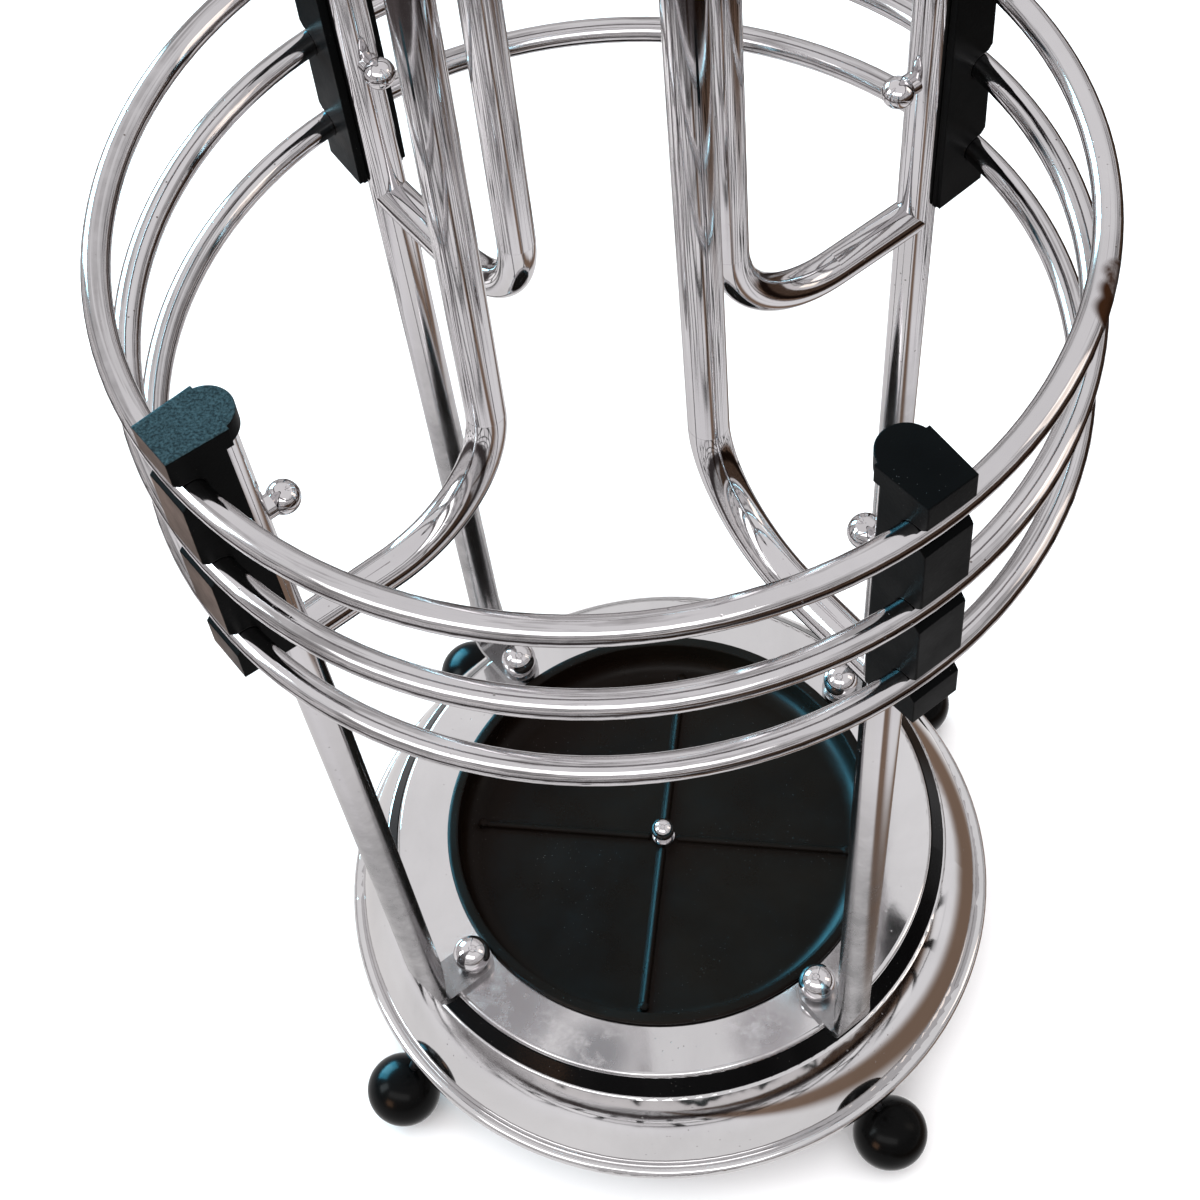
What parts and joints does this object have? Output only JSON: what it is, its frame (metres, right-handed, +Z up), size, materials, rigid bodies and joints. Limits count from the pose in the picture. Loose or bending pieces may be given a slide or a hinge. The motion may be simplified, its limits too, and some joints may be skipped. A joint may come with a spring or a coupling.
{
  "type": "umbrella stand",
  "caption": "Chromed umbrella stand with splayed tube legs, hoops held in black blocks, bent-tube dividers, a domed base with a drip tray, and ball feet.",
  "frame": {"origin": "on the floor, midway between the four ball feet", "axes": "+Z up, -Y towards the front, the legs stand on the diagonals between the X and Y axes"},
  "size_m": [0.4119, 0.412, 0.8799],
  "materials": {
    "tube_chrome": "polished chrome plate with fine marks",
    "hoop_chrome": "polished chrome plate, pitted in places",
    "base_chrome": "chrome plate, scuffed and dusty on the flat ring",
    "bright_fixings": "polished",
    "zinc_fixings": "zinc plated",
    "collar_black": "gloss black moulding",
    "tray_black": "satin black moulding",
    "holder_black": "semi-gloss black moulding",
    "foot_black": "gloss black"
  },
  "bodies": {
    "frame": {"base_skirt": "base_chrome", "base_collar": "collar_black", "base_top": "base_chrome", "centre_stud": "zinc_fixings", "centre_stud_nut": "zinc_fixings", "leg_front_left": "tube_chrome", "leg_front_right": "tube_chrome", "leg_rear_left": "tube_chrome", "leg_rear_right": "tube_chrome", "divider_loop_front": "tube_chrome", "divider_loop_rear": "tube_chrome", "hoop_upper": "hoop_chrome", "hoop_middle": "hoop_chrome", "hoop_lower": "hoop_chrome", "holder_front_left": "holder_black", "holder_front_right": "holder_black", "holder_rear_left": "holder_black", "holder_rear_right": "holder_black", "holder_bolts": "zinc_fixings", "holder_ball_nuts": "bright_fixings", "leg_bolts": "zinc_fixings", "leg_ball_nuts": "bright_fixings", "foot_pins": "zinc_fixings", "foot_front_left": "foot_black", "foot_front_right": "foot_black", "foot_rear_left": "foot_black", "foot_rear_right": "foot_black"},
    "tray": {"drip_tray": "tray_black", "centre_washer": "bright_fixings"},
    "nut": {"centre_ball_nut": "bright_fixings"}
  },
  "joints": [
    {"name": "tray_lift", "type": "slide", "parent": "frame", "child": "tray", "axis": [0, 0, 1], "range_m": [0, 0.38]},
    {"name": "centre_nut_turn", "type": "hinge", "parent": "tray", "child": "nut", "pos_m": [0, 0, 0.1], "axis": [0, 0, 1], "continuous": true}
  ]
}
